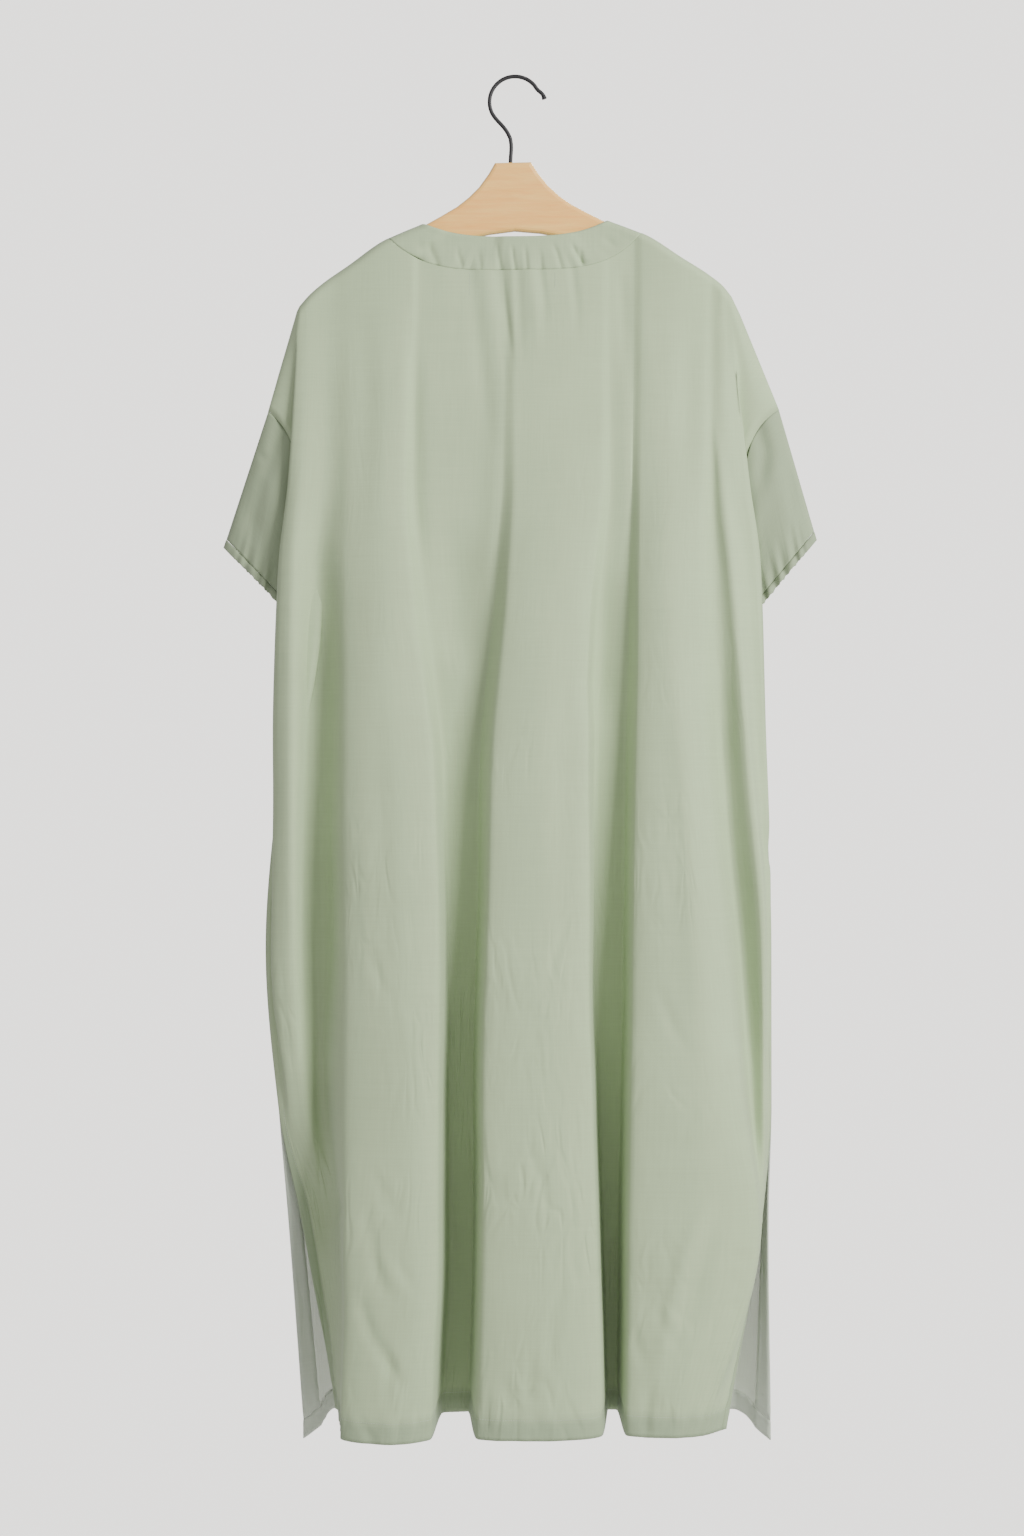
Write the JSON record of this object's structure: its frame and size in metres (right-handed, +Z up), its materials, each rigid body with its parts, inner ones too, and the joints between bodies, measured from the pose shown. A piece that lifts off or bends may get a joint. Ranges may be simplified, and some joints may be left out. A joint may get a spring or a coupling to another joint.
{
  "type": "dress on a hanger",
  "caption": "Loose pull-on dress with short drop-shoulder sleeves, a banded round neck and side slits, hung on a flat wooden hanger with a bent wire hook.",
  "frame": {"origin": "the highest point of the inside of the hook, where the rod or peg carries it", "axes": "+Z up, +X to the right of someone who faces the garment's back, +Y away from them, so the back of the dress faces -Y and its front +Y"},
  "size_m": [0.5956, 0.1608, 1.3739],
  "materials": {
    "cloth": "matt, plain weave, slightly sheer",
    "wood": "clear satin over pale wood",
    "wire": "satin black"
  },
  "bodies": {
    "root": {"back": "cloth", "front": "cloth", "sleeve_left": "cloth", "sleeve_right": "cloth", "cuff_left": "cloth", "cuff_right": "cloth", "neck_band_back": "cloth", "neck_band_front": "cloth", "hem_back": "cloth", "hem_front": "cloth", "slit_facing_back_left": "cloth", "slit_facing_back_right": "cloth", "slit_facing_front_left": "cloth", "slit_facing_front_right": "cloth", "hanger": "wood", "hanger_hook": "wire"}
  },
  "joints": []
}
